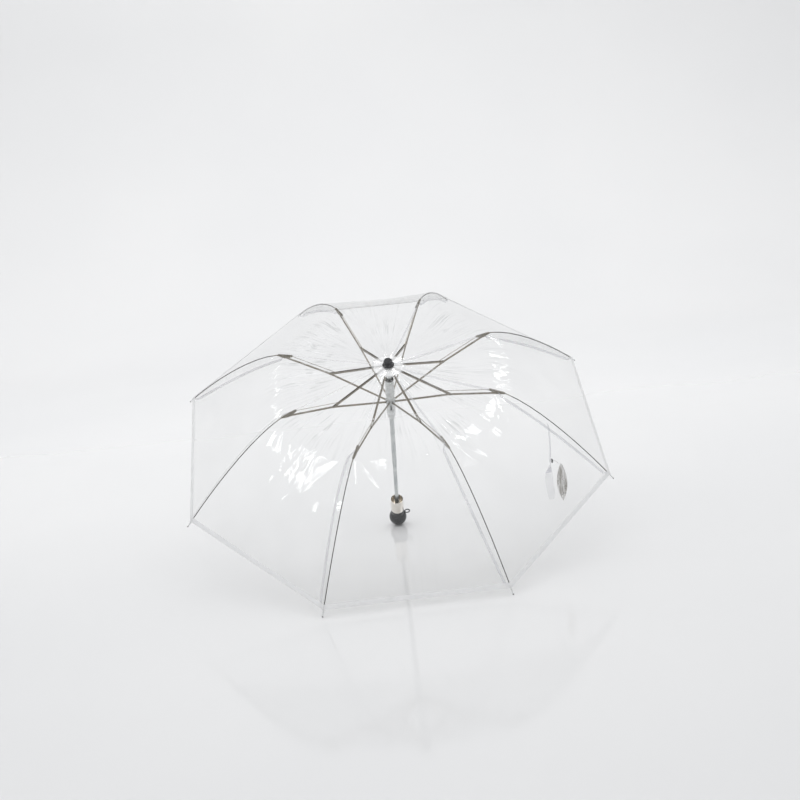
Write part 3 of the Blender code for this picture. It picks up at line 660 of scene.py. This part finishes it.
def make_seams(seam, band):
    """The welded flange that hangs inside each rib: slack film down to a thicker, straight selvedge."""
    count = SEAM_ROWS
    start, finish = Vector(LINE[SEAM_FIRST_ROW]), Vector(LINE[-1])
    for rib in range(RIBS):
        lean = FIN_LEAN[rib]
        frame_here = plane(rib)
        rows_a, rows_b, rows_c = [], [], []
        for n in range(count + 1):
            t = n / count
            k = SEAM_FIRST_ROW + t * (len(LINE) - 1 - SEAM_FIRST_ROW)
            low, part = int(k), k - int(k)
            high = min(low + 1, len(LINE) - 1)
            top = Vector(LINE[low]).lerp(Vector(LINE[high]), part)
            tangent = (Vector(LINE[high]) - Vector(LINE[max(low - 1, 0)])).normalized()
            inward = Vector((tangent.y, -tangent.x))
            bow = (start.lerp(finish, t) - top).dot(inward)
            taper = min(1.0, t / 0.08, (1.0 - t) / 0.05 + 0.35)
            depth = (WEB_DEPTH + FIN_DROP[rib] * max(bow, 0.0)) * taper
            wide = BAND_WIDTH * taper
            for rows, down in ((rows_a, 0.0004), (rows_b, depth), (rows_c, depth + wide)):
                sideways = math.sin(lean) * down
                inside = math.cos(lean) * down
                at = top + inward * inside
                rows.append(frame_here @ Vector((at.x, sideways, at.y)))
        parts = (("seam_web", rows_a, rows_b, seam), ("seam_band", rows_b, rows_c, band))
        for name, upper, lower, finish_used in parts:
            mesh = bpy.data.meshes.new(name)
            points = [tuple(p) for p in upper] + [tuple(p) for p in lower]
            faces = [(n, n + 1, n + 2 + count, n + 1 + count) for n in range(count)]
            mesh.from_pydata(points, [], faces)
            mesh.shade_smooth()
            item = add(f"{name}_{rib + 1}", mesh, finish_used, f"outer_rib_{rib + 1}")
            if name == "seam_band":
                thick = item.modifiers.new("Solidify", "SOLIDIFY")
                thick.thickness, thick.offset = BAND_THICK, 0.0


def make_crown_seams(band):
    """The same seams from the crown to the knee, riding on the shaft like the film there."""
    for rib in range(RIBS):
        frame_here = plane(rib)
        upper, lower = [], []
        for n in range(ROWS_IN + 4):
            top = Vector(LINE[n])
            wide = CROWN_SEAM_WIDTH * min(1.0, n / 6.0)
            upper.append(frame_here @ Vector((top.x, 0.0, top.y + 0.0002)))
            lower.append(frame_here @ Vector((top.x, -0.55 * wide, top.y - wide)))
        count = len(upper)
        mesh = bpy.data.meshes.new("seam_crown")
        faces = [(n, n + 1, n + 1 + count, n + count) for n in range(count - 1)]
        mesh.from_pydata([tuple(p) for p in upper + lower], [], faces)
        mesh.shade_smooth()
        item = add(f"seam_crown_{rib + 1}", mesh, band, "shaft")
        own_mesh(item)


# ------------------------------------------------------------------ hard pieces rebuilt finely
def shaft_piece(name, profile, material, body, node, radius=0.0004):
    mesh = lathe(rounded(profile, radius))
    mesh.transform(SHAFT)
    item = add(name, mesh, material, body)
    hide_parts(node)
    return item


def make_hard_pieces(black, nickel):
    """The cap, the cup and the ball, with finer curves than the CAD's."""
    cap = [(0.0, 0.0178), (0.0066, 0.0176), (0.0083, 0.0168), (0.0090, 0.0152), (0.0092, 0.0128),
           (0.0092, 0.0108), (0.0097, 0.0092), (0.0110, 0.0082), (0.0119, 0.0074), (0.0121, 0.0066),
           (0.0119, 0.0059), (0.0110, 0.0056), (0.0040, 0.0056), (0.0040, -0.0060), (0.0, -0.0060)]
    shaft_piece("cap_fine", cap, black, "shaft", "top_cap", 0.0003)
    cup = [(0.0140, -0.4090), (0.01425, -0.4096), (0.01425, -0.4140), (0.01405, -0.4144),
           (0.01405, -0.4150), (0.01425, -0.4154), (0.01425, -0.4440), (0.0133, -0.4450),
           (0.0044, -0.4450), (0.0044, -0.4435), (0.01325, -0.4435), (0.01325, -0.4090)]
    shaft_piece("cup_fine", cup, nickel, "handle", "handle_cup", 0.0002)
    ball = [(0.0128, -0.4454), (0.0143, -0.4466), (0.0143, -0.4530)]
    first = math.acos((-0.4560 - BALL_Z) / BALL_R)
    last = math.pi - math.asin(0.0080 / BALL_R)
    for n in range(29):
        angle = first + (last - first) * n / 28
        ball.append((BALL_R * math.sin(angle), BALL_Z + BALL_R * math.cos(angle)))
    ball += [(0.0, ball[-1][1]), (0.0, -0.4786), (0.0044, -0.4786), (0.0044, -0.4454)]
    shaft_piece("ball_fine", ball, black, "handle", "handle_ball", 0.0002)


def make_beads(dark):
    """The wire's dark end in each tip cap, and the rivet's head on the cup."""
    beads = [(f"tip_bead_{rib + 1}", plane(rib) @ Vector((TIP.x, 0.0, TIP.y)), 0.00144,
              f"outer_rib_{rib + 1}", "steel_rib") for rib in range(RIBS)]
    beads.append(("rivet_head", SHAFT @ Vector((0.0, -0.0049, -0.4105)), 0.0014, "handle", "steel_rib"))
    for name, place, radius, body, slot in beads:
        form = bmesh.new()
        bmesh.ops.create_icosphere(form, subdivisions=3, radius=radius, matrix=Matrix.Translation(place))
        mesh = bpy.data.meshes.new(name)
        form.to_mesh(mesh)
        form.free()
        mesh.shade_smooth()
        add(name, mesh, dark, body)


def refinish(names, material):
    """Gives CAD nodes a new finish and smooth shading; their shapes stay."""
    for name in names:
        for place in NODES[name].material_slots:
            place.material = material
        mesh = NODES[name].data
        mesh.shade_smooth()
        mesh.set_sharp_from_angle(angle=math.radians(35.0))


# ------------------------------------------------------------------ studio
def make_stage(floor):
    """A plain floor that turns up into a backdrop far behind."""
    form = bmesh.new()
    line = [(-12.0, 0.0), (-2.0, 0.0), (1.5, 0.0), (2.55, 0.0), (2.6, 0.0)]
    for n in range(1, 37):
        angle = math.radians(90.0 * n / 36)
        line.append((2.6 + 1.6 * math.sin(angle), 1.6 - 1.6 * math.cos(angle)))
    line.append((4.2, 7.0))
    rows = [(form.verts.new((-14.0, y, z)), form.verts.new((14.0, y, z))) for y, z in line]
    for (a, b), (c, d) in zip(rows, rows[1:]):
        form.faces.new((a, b, d, c))
    mesh = bpy.data.meshes.new("floor")
    form.to_mesh(mesh)
    form.free()
    mesh.shade_smooth()
    item = add("floor", mesh, floor)


def area_light(name, place, target, size, size_y, power, mirrored):
    """A softbox; a mirrored one is only there to be seen in glossy things, the others only light."""
    data = bpy.data.lights.new(name, "AREA")
    data.shape = "RECTANGLE"
    data.size, data.size_y = size, size_y
    data.energy = power
    item = bpy.data.objects.new(name, data)
    item.location = place
    item.rotation_euler = (Vector(target) - Vector(place)).to_track_quat("-Z", "Y").to_euler()
    item.visible_camera = False
    item.visible_glossy, item.visible_diffuse = mirrored, not mirrored
    bpy.context.scene.collection.objects.link(item)


# softboxes the film mirrors: rise and bearing of the middle, height and width, in degrees, and brightness
GLARES = [(30.5, -59.0, 11.5, 5.5, 14.0), (51.0, 59.0, 15.0, 6.0, 12.0), (33.0, 69.5, 9.0, 2.5, 12.0),
          (34.0, 14.5, 26.0, 1.5, 11.0), (46.0, 122.0, 20.0, 5.0, 10.0), (43.0, -133.0, 5.0, 8.0, 12.0),
          (45.0, -117.0, 4.0, 3.0, 12.0), (19.5, -68.0, 3.0, 3.0, 12.0)]
GLARE_MIDDLE = Vector((0.0, 0.0, 0.3))
GLARE_FAR = 2.6


def make_lights():
    world = bpy.data.worlds.new("studio")
    world.use_nodes = True
    nodes, links = world.node_tree.nodes, world.node_tree.links
    kinds = ("TexCoord", "SeparateXYZ", "MapRange")
    place, split, rise = (nodes.new(f"ShaderNode{kind}") for kind in kinds)
    rise.inputs["From Min"].default_value, rise.inputs["From Max"].default_value = -0.02, 0.40
    rise.inputs["To Min"].default_value, rise.inputs["To Max"].default_value = 0.66, 0.97
    links.new(place.outputs["Generated"], split.inputs["Vector"])
    links.new(split.outputs["Z"], rise.inputs["Value"])
    nodes["Background"].inputs["Color"].default_value = (0.972, 0.982, 1.0, 1.0)
    links.new(rise.outputs["Result"], nodes["Background"].inputs["Strength"])
    bpy.context.scene.world = world
    bpy.context.scene.view_settings.view_transform = "Standard"
    area_light("top", (0.0, 0.2, 3.2), (0.0, 0.0, 0.0), 2.6, 2.6, 12.0, False)
    area_light("back", (0.0, 0.6, 3.4), (0.0, 4.2, 1.6), 4.0, 1.6, 48.0, False)
    for n, (rise, bearing, tall, wide, bright) in enumerate(GLARES):
        rise, bearing = math.radians(rise), math.radians(bearing)
        level = math.cos(rise)
        way = Vector((math.sin(bearing) * level, -math.cos(bearing) * level, math.sin(rise)))
        tall, wide = (2.0 * GLARE_FAR * math.tan(math.radians(size) / 2.0) for size in (tall, wide))
        power = math.pi * wide * tall * bright
        area_light(f"glare_{n + 1}", GLARE_MIDDLE + GLARE_FAR * way, GLARE_MIDDLE, wide, tall, power, True)


make_camera()
film = film_finish("clear_film", (0.42, 0.43, 0.42), 0.072, 0.30, 0.6, 0.40)
hem = film_finish("hem_film", (1.0, 1.0, 1.0), 0.52, 0.25, 0.0)
seam = film_finish("seam_film", (0.60, 0.61, 0.62), 0.015, 0.14)
band = film_finish("selvedge_film", (0.96, 0.96, 0.98), 0.34, 0.22, 0.12)
tie = film_finish("strap_film", (0.80, 0.80, 0.84), 0.12, 0.5, 0.5)
steel = steel_finish("rib_steel", (0.16, 0.138, 0.110), (0.44, 0.40, 0.34), 0.24, 0.44)
knuckle = steel_finish("knuckle_steel", (0.035, 0.033, 0.030), (0.15, 0.14, 0.13), 0.30, 0.50)
outer = outer_finish((0.12, 0.104, 0.082), (0.36, 0.33, 0.28), (0.045, 0.043, 0.040), (0.16, 0.15, 0.14))
tube, nickel, black, moulding = tube_finish(), nickel_finish(), black_finish(), moulding_finish()
silver = label_finish()
make_canopy(film, hem)
make_seams(seam, band)
make_crown_seams(band)
make_hard_pieces(black, nickel)
numbers = range(1, RIBS + 1)
inner_frame = [f"{kind}_{n}" for kind in ("crown_rib", "main_rib", "link_wire") for n in numbers]
refinish(inner_frame + ["crown_wire", "runner_wire"], steel)
refinish([f"outer_rib_{n}" for n in numbers], outer)
refinish([f"tip_cap_{n}" for n in numbers] + ["crown_notch", "runner"], moulding)
refinish(["upper_tube", "lower_tube", "telescope_button", "open_catch", "runner_stop_pin"], tube)
refinish(["runner_ferrule"], knuckle)
refinish(["handle_rivet", "lanyard_loop", "snap_stud"], black)
refinish(["closure_strap"], tie)
refinish(["label_tag"], silver)
make_beads(knuckle)
make_stage(floor_finish())
make_lights()
